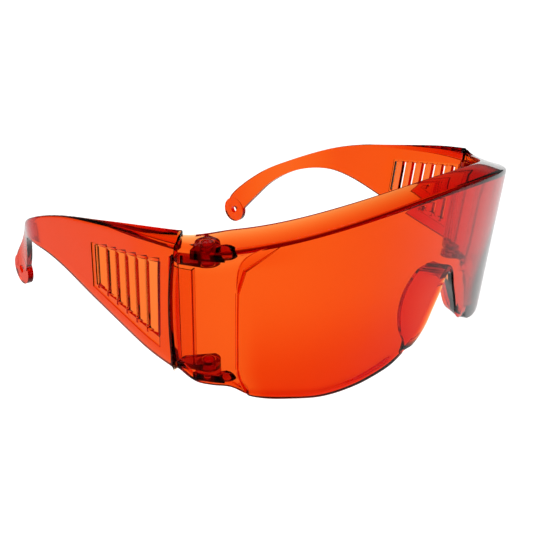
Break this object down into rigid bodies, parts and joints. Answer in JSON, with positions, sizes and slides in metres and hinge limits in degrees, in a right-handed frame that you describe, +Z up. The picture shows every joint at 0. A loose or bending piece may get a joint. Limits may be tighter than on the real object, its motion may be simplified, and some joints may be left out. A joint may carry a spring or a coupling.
{
  "type": "safety glasses",
  "caption": "Wrap-round over-spectacle safety glasses in clear tinted plastic, with a brow shelf, a moulded nose flange and vented temples that fold on pinned hinges.",
  "frame": {"origin": "under the middle of the bounding box, on the surface that the glasses stand on with their temples open", "axes": "+Z up, the wearer looks along -Y, +X is the wearer's left"},
  "size_m": [0.1546, 0.164, 0.0571],
  "materials": {
    "lens_polycarbonate": "clear orange-tinted polycarbonate, polished in the mould",
    "temple_polycarbonate": "clear orange-tinted polycarbonate, polished in the mould",
    "pin_polycarbonate": "the same tinted plastic, deeper in colour where it is thick"
  },
  "bodies": {
    "front": {"lens_front": "lens_polycarbonate", "hinge_pin_upper_left": "pin_polycarbonate", "hinge_pin_lower_left": "pin_polycarbonate", "hinge_pin_upper_right": "pin_polycarbonate", "hinge_pin_lower_right": "pin_polycarbonate"},
    "left_temple": {"temple_left": "temple_polycarbonate"},
    "right_temple": {"temple_right": "temple_polycarbonate"}
  },
  "joints": [
    {"name": "left_temple_fold", "type": "hinge", "parent": "front", "child": "left_temple", "pos_m": [0.0673, -0.047, 0.046], "axis": [0.0497, -0.0925, 0.9945], "range_deg": [0, 90]},
    {"name": "right_temple_fold", "type": "hinge", "parent": "front", "child": "right_temple", "pos_m": [-0.0673, -0.047, 0.046], "axis": [0.0497, 0.0925, -0.9945], "range_deg": [0, 78]}
  ]
}
